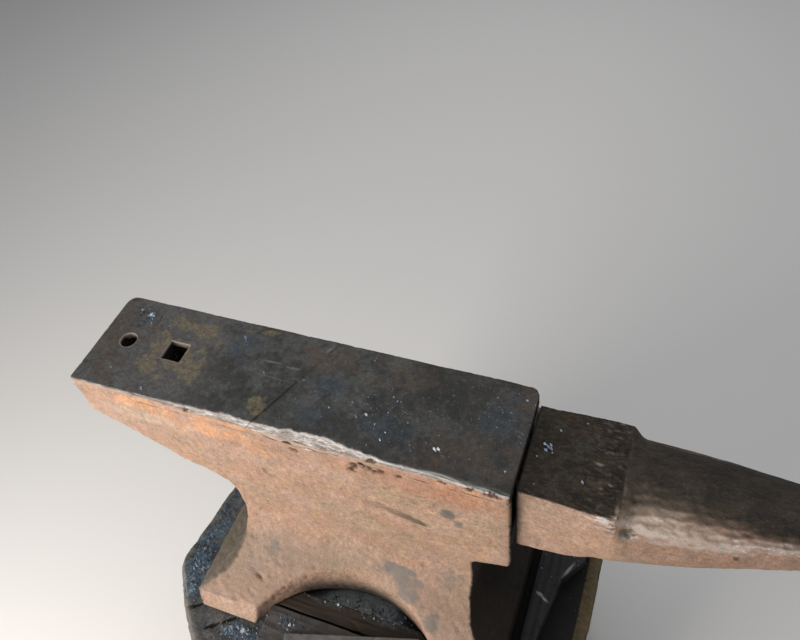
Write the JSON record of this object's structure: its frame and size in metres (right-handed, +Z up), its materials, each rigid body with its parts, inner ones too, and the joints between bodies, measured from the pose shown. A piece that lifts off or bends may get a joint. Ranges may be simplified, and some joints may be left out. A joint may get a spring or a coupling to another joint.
{
  "type": "blacksmith's anvil on a log stump",
  "caption": "Forging anvil with a hardy hole, a pritchel hole and a separately made horn block, standing with its packing pieces on a hewn log stump.",
  "frame": {"origin": "middle of the stump's bottom face, on the floor", "axes": "+Z up, +X along the anvil towards the tip of the horn, +Y to the smith's side of the face"},
  "size_m": [0.8844, 0.604, 0.8072],
  "materials": {
    "stump_wood": "weathered log, grey sawn top with checks, dark bark sides",
    "body_iron": "rust-brown wrought iron, worn grey in patches",
    "face_steel": "dark hammered steel face, bright chipped near edge",
    "horn_iron": "dark brown forged iron, rubbed bright along the horn",
    "packing_wood": "old oily boards",
    "bar_steel": "grey mill-finished flat bar",
    "wedge_wood": "oil-dark hardwood"
  },
  "bodies": {
    "root": {"stump": "stump_wood", "anvil_body": "body_iron", "face_plate_heel": "face_steel", "face_plate_front": "face_steel", "horn_block": "horn_iron", "inner_board": "packing_wood", "outer_board": "packing_wood", "flat_bar": "bar_steel", "wedge": "wedge_wood"}
  },
  "joints": []
}
